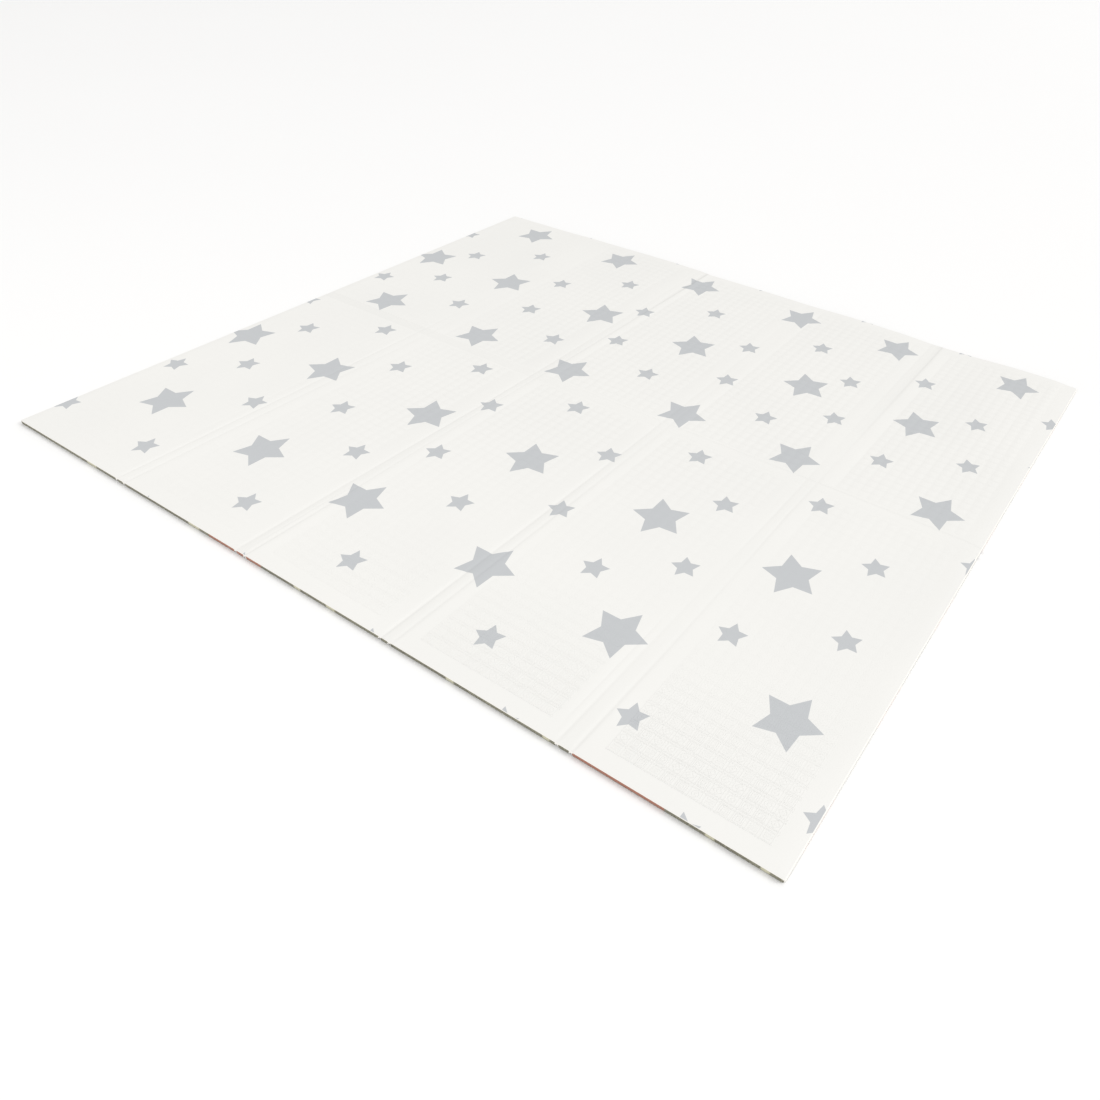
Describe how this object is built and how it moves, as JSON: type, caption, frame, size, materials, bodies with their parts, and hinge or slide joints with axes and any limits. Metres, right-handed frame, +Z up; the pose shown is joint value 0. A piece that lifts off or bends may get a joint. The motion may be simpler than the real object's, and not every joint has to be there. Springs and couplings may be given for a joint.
{
  "type": "baby play mat",
  "caption": "Flat foam play mat for the floor, printed with stars, with pressed double fold lines between its panels and rounded-over edges.",
  "frame": {"origin": "on the floor, under the middle of the mat", "axes": "+X along the front edge, across the long folds; +Y from the front edge to the back edge; +Z up from the floor"},
  "size_m": [2, 1.8, 0.0176],
  "materials": {
    "printed_film": "satin film over foam, embossed, ivory with light grey stars"
  },
  "bodies": {
    "root": {"play_mat": "printed_film"}
  },
  "joints": []
}
